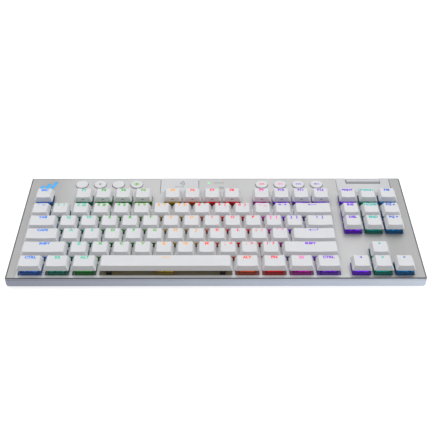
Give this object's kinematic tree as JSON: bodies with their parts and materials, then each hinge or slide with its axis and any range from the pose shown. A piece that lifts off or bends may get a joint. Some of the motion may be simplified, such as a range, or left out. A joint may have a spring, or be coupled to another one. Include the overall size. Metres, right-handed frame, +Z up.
{
  "type": "mechanical keyboard",
  "caption": "Low-profile tenkeyless wireless keyboard: lit floating keycaps over an aluminium plate, round buttons, volume roller and folding feet.",
  "frame": {"origin": "under the middle of the keyboard, on the surface that it stands on", "axes": "+X to the user's right along the keyboard, +Y away from the user, +Z up"},
  "size_m": [0.368, 0.15, 0.022],
  "materials": {
    "cap_plastic": "cool white, fine satin grain",
    "plate_metal": "bead-blasted silver with faint upright brushing",
    "tray_plastic": "blue-grey moulded plastic, fine texture",
    "window_plastic": "light silver-grey gloss",
    "roller_metal": "smooth satin silver",
    "clear_plastic": "milky clear housings lit from below",
    "steel": "zinc-plated sheet",
    "rubber": "matt black",
    "circuit_laminate": "dark green solder mask",
    "battery_wrap": "grey shrink wrap",
    "black_plastic": "black moulded plastic",
    "lit_blue": "glowing blue light window",
    "lit_green": "glowing green light pipe"
  },
  "bodies": {
    "case": {"top_plate": "plate_metal", "base_tray": "tray_plastic", "steel_stiffener": "steel", "circuit_board": "circuit_laminate", "switch_bank": "clear_plastic", "battery_pack": "battery_wrap", "antenna_window": "window_plastic", "roller_surround": "window_plastic", "emblem_window": "lit_blue", "status_light": "lit_green", "roller_bearing": "black_plastic", "roller_encoder": "black_plastic", "charging_socket": "steel", "front_left_pad": "rubber", "front_right_pad": "rubber", "rear_left_pad": "rubber", "rear_right_pad": "rubber"},
    "volume_roller": {"volume_roller": "roller_metal", "roller_shaft": "steel"},
    "power_slider": {"power_slider": "black_plastic"},
    "left_tall_foot": {"left_tall_foot": "tray_plastic"},
    "left_short_foot": {"left_short_foot": "tray_plastic"},
    "right_tall_foot": {"right_tall_foot": "tray_plastic"},
    "right_short_foot": {"right_short_foot": "tray_plastic"},
    "mode_button_1": {"mode_button_1": "cap_plastic"},
    "mode_button_2": {"mode_button_2": "cap_plastic"},
    "mode_button_3": {"mode_button_3": "cap_plastic"},
    "mode_button_4": {"mode_button_4": "cap_plastic"},
    "media_button_1": {"media_button_1": "cap_plastic"},
    "media_button_2": {"media_button_2": "cap_plastic"},
    "media_button_3": {"media_button_3": "cap_plastic"},
    "media_button_4": {"media_button_4": "cap_plastic"},
    "left_control_key": {"left_control_key": "cap_plastic"},
    "left_system_key": {"left_system_key": "cap_plastic"},
    "left_alt_key": {"left_alt_key": "cap_plastic"},
    "space_bar": {"space_bar": "cap_plastic"},
    "right_alt_key": {"right_alt_key": "cap_plastic"},
    "function_key": {"function_key": "cap_plastic"},
    "menu_key": {"menu_key": "cap_plastic"},
    "right_control_key": {"right_control_key": "cap_plastic"},
    "left_shift_key": {"left_shift_key": "cap_plastic"},
    "right_shift_key": {"right_shift_key": "cap_plastic"},
    "caps_lock_key": {"caps_lock_key": "cap_plastic"},
    "enter_key": {"enter_key": "cap_plastic"},
    "tab_key": {"tab_key": "cap_plastic"},
    "backslash_key": {"backslash_key": "cap_plastic"},
    "backspace_key": {"backspace_key": "cap_plastic"},
    "escape_key": {"escape_key": "cap_plastic"},
    "left_arrow_key": {"left_arrow_key": "cap_plastic"},
    "down_arrow_key": {"down_arrow_key": "cap_plastic"},
    "right_arrow_key": {"right_arrow_key": "cap_plastic"},
    "up_arrow_key": {"up_arrow_key": "cap_plastic"},
    "keys_z_row": {"keys_z_row": "cap_plastic"},
    "keys_a_row": {"keys_a_row": "cap_plastic"},
    "keys_q_row": {"keys_q_row": "cap_plastic"},
    "keys_number_row": {"keys_number_row": "cap_plastic"},
    "keys_f1_to_f4": {"keys_f1_to_f4": "cap_plastic"},
    "keys_f5_to_f8": {"keys_f5_to_f8": "cap_plastic"},
    "keys_f9_to_f12": {"keys_f9_to_f12": "cap_plastic"},
    "keys_navigation": {"keys_navigation": "cap_plastic"}
  },
  "joints": [
    {"name": "volume_roller_turn", "type": "hinge", "parent": "case", "child": "volume_roller", "pos_m": [0.14685, 0.07045, 0.0092], "axis": [1, 0, 0], "continuous": true},
    {"name": "power_slider_slide", "type": "slide", "parent": "case", "child": "power_slider", "axis": [1, 0, 0], "range_m": [0, 0.003]},
    {"name": "left_tall_foot_swing", "type": "hinge", "parent": "case", "child": "left_tall_foot", "pos_m": [-0.15, 0.062, 0.0031], "axis": [1, 0, 0], "range_deg": [0, 100]},
    {"name": "left_short_foot_swing", "type": "hinge", "parent": "case", "child": "left_short_foot", "pos_m": [-0.118, 0.062, 0.0031], "axis": [1, 0, 0], "range_deg": [0, 100]},
    {"name": "right_tall_foot_swing", "type": "hinge", "parent": "case", "child": "right_tall_foot", "pos_m": [0.15, 0.062, 0.0031], "axis": [1, 0, 0], "range_deg": [0, 100]},
    {"name": "right_short_foot_swing", "type": "hinge", "parent": "case", "child": "right_short_foot", "pos_m": [0.118, 0.062, 0.0031], "axis": [1, 0, 0], "range_deg": [0, 100]},
    {"name": "mode_button_1_press", "type": "slide", "parent": "case", "child": "mode_button_1", "axis": [0, 0, -1], "range_m": [0, 0.0008], "stiffness_N_per_m": 900, "springref_m": -0.0008},
    {"name": "mode_button_2_press", "type": "slide", "parent": "case", "child": "mode_button_2", "axis": [0, 0, -1], "range_m": [0, 0.0008], "stiffness_N_per_m": 900, "springref_m": -0.0008},
    {"name": "mode_button_3_press", "type": "slide", "parent": "case", "child": "mode_button_3", "axis": [0, 0, -1], "range_m": [0, 0.0008], "stiffness_N_per_m": 900, "springref_m": -0.0008},
    {"name": "mode_button_4_press", "type": "slide", "parent": "case", "child": "mode_button_4", "axis": [0, 0, -1], "range_m": [0, 0.0008], "stiffness_N_per_m": 900, "springref_m": -0.0008},
    {"name": "media_button_1_press", "type": "slide", "parent": "case", "child": "media_button_1", "axis": [0, 0, -1], "range_m": [0, 0.0008], "stiffness_N_per_m": 900, "springref_m": -0.0008},
    {"name": "media_button_2_press", "type": "slide", "parent": "case", "child": "media_button_2", "axis": [0, 0, -1], "range_m": [0, 0.0008], "stiffness_N_per_m": 900, "springref_m": -0.0008},
    {"name": "media_button_3_press", "type": "slide", "parent": "case", "child": "media_button_3", "axis": [0, 0, -1], "range_m": [0, 0.0008], "stiffness_N_per_m": 900, "springref_m": -0.0008},
    {"name": "media_button_4_press", "type": "slide", "parent": "case", "child": "media_button_4", "axis": [0, 0, -1], "range_m": [0, 0.0008], "stiffness_N_per_m": 900, "springref_m": -0.0008},
    {"name": "left_control_key_press", "type": "slide", "parent": "case", "child": "left_control_key", "axis": [0, 0, -1], "range_m": [0, 0.0027], "stiffness_N_per_m": 150, "springref_m": -0.002},
    {"name": "left_system_key_press", "type": "slide", "parent": "case", "child": "left_system_key", "axis": [0, 0, -1], "range_m": [0, 0.0027], "stiffness_N_per_m": 150, "springref_m": -0.002},
    {"name": "left_alt_key_press", "type": "slide", "parent": "case", "child": "left_alt_key", "axis": [0, 0, -1], "range_m": [0, 0.0027], "stiffness_N_per_m": 150, "springref_m": -0.002},
    {"name": "space_bar_press", "type": "slide", "parent": "case", "child": "space_bar", "axis": [0, 0, -1], "range_m": [0, 0.0027], "stiffness_N_per_m": 150, "springref_m": -0.002},
    {"name": "right_alt_key_press", "type": "slide", "parent": "case", "child": "right_alt_key", "axis": [0, 0, -1], "range_m": [0, 0.0027], "stiffness_N_per_m": 150, "springref_m": -0.002},
    {"name": "function_key_press", "type": "slide", "parent": "case", "child": "function_key", "axis": [0, 0, -1], "range_m": [0, 0.0027], "stiffness_N_per_m": 150, "springref_m": -0.002},
    {"name": "menu_key_press", "type": "slide", "parent": "case", "child": "menu_key", "axis": [0, 0, -1], "range_m": [0, 0.0027], "stiffness_N_per_m": 150, "springref_m": -0.002},
    {"name": "right_control_key_press", "type": "slide", "parent": "case", "child": "right_control_key", "axis": [0, 0, -1], "range_m": [0, 0.0027], "stiffness_N_per_m": 150, "springref_m": -0.002},
    {"name": "left_shift_key_press", "type": "slide", "parent": "case", "child": "left_shift_key", "axis": [0, 0, -1], "range_m": [0, 0.0027], "stiffness_N_per_m": 150, "springref_m": -0.002},
    {"name": "right_shift_key_press", "type": "slide", "parent": "case", "child": "right_shift_key", "axis": [0, 0, -1], "range_m": [0, 0.0027], "stiffness_N_per_m": 150, "springref_m": -0.002},
    {"name": "caps_lock_key_press", "type": "slide", "parent": "case", "child": "caps_lock_key", "axis": [0, 0, -1], "range_m": [0, 0.0027], "stiffness_N_per_m": 150, "springref_m": -0.002},
    {"name": "enter_key_press", "type": "slide", "parent": "case", "child": "enter_key", "axis": [0, 0, -1], "range_m": [0, 0.0027], "stiffness_N_per_m": 150, "springref_m": -0.002},
    {"name": "tab_key_press", "type": "slide", "parent": "case", "child": "tab_key", "axis": [0, 0, -1], "range_m": [0, 0.0027], "stiffness_N_per_m": 150, "springref_m": -0.002},
    {"name": "backslash_key_press", "type": "slide", "parent": "case", "child": "backslash_key", "axis": [0, 0, -1], "range_m": [0, 0.0027], "stiffness_N_per_m": 150, "springref_m": -0.002},
    {"name": "backspace_key_press", "type": "slide", "parent": "case", "child": "backspace_key", "axis": [0, 0, -1], "range_m": [0, 0.0027], "stiffness_N_per_m": 150, "springref_m": -0.002},
    {"name": "escape_key_press", "type": "slide", "parent": "case", "child": "escape_key", "axis": [0, 0, -1], "range_m": [0, 0.0027], "stiffness_N_per_m": 150, "springref_m": -0.002},
    {"name": "left_arrow_key_press", "type": "slide", "parent": "case", "child": "left_arrow_key", "axis": [0, 0, -1], "range_m": [0, 0.0027], "stiffness_N_per_m": 150, "springref_m": -0.002},
    {"name": "down_arrow_key_press", "type": "slide", "parent": "case", "child": "down_arrow_key", "axis": [0, 0, -1], "range_m": [0, 0.0027], "stiffness_N_per_m": 150, "springref_m": -0.002},
    {"name": "right_arrow_key_press", "type": "slide", "parent": "case", "child": "right_arrow_key", "axis": [0, 0, -1], "range_m": [0, 0.0027], "stiffness_N_per_m": 150, "springref_m": -0.002},
    {"name": "up_arrow_key_press", "type": "slide", "parent": "case", "child": "up_arrow_key", "axis": [0, 0, -1], "range_m": [0, 0.0027], "stiffness_N_per_m": 150, "springref_m": -0.002},
    {"name": "keys_z_row_press", "type": "slide", "parent": "case", "child": "keys_z_row", "axis": [0, 0, -1], "range_m": [0, 0.0027], "stiffness_N_per_m": 1500, "springref_m": -0.002},
    {"name": "keys_a_row_press", "type": "slide", "parent": "case", "child": "keys_a_row", "axis": [0, 0, -1], "range_m": [0, 0.0027], "stiffness_N_per_m": 1650, "springref_m": -0.002},
    {"name": "keys_q_row_press", "type": "slide", "parent": "case", "child": "keys_q_row", "axis": [0, 0, -1], "range_m": [0, 0.0027], "stiffness_N_per_m": 1800, "springref_m": -0.002},
    {"name": "keys_number_row_press", "type": "slide", "parent": "case", "child": "keys_number_row", "axis": [0, 0, -1], "range_m": [0, 0.0027], "stiffness_N_per_m": 1950, "springref_m": -0.002},
    {"name": "keys_f1_to_f4_press", "type": "slide", "parent": "case", "child": "keys_f1_to_f4", "axis": [0, 0, -1], "range_m": [0, 0.0027], "stiffness_N_per_m": 600, "springref_m": -0.002},
    {"name": "keys_f5_to_f8_press", "type": "slide", "parent": "case", "child": "keys_f5_to_f8", "axis": [0, 0, -1], "range_m": [0, 0.0027], "stiffness_N_per_m": 600, "springref_m": -0.002},
    {"name": "keys_f9_to_f12_press", "type": "slide", "parent": "case", "child": "keys_f9_to_f12", "axis": [0, 0, -1], "range_m": [0, 0.0027], "stiffness_N_per_m": 600, "springref_m": -0.002},
    {"name": "keys_navigation_press", "type": "slide", "parent": "case", "child": "keys_navigation", "axis": [0, 0, -1], "range_m": [0, 0.0027], "stiffness_N_per_m": 1350, "springref_m": -0.002}
  ]
}
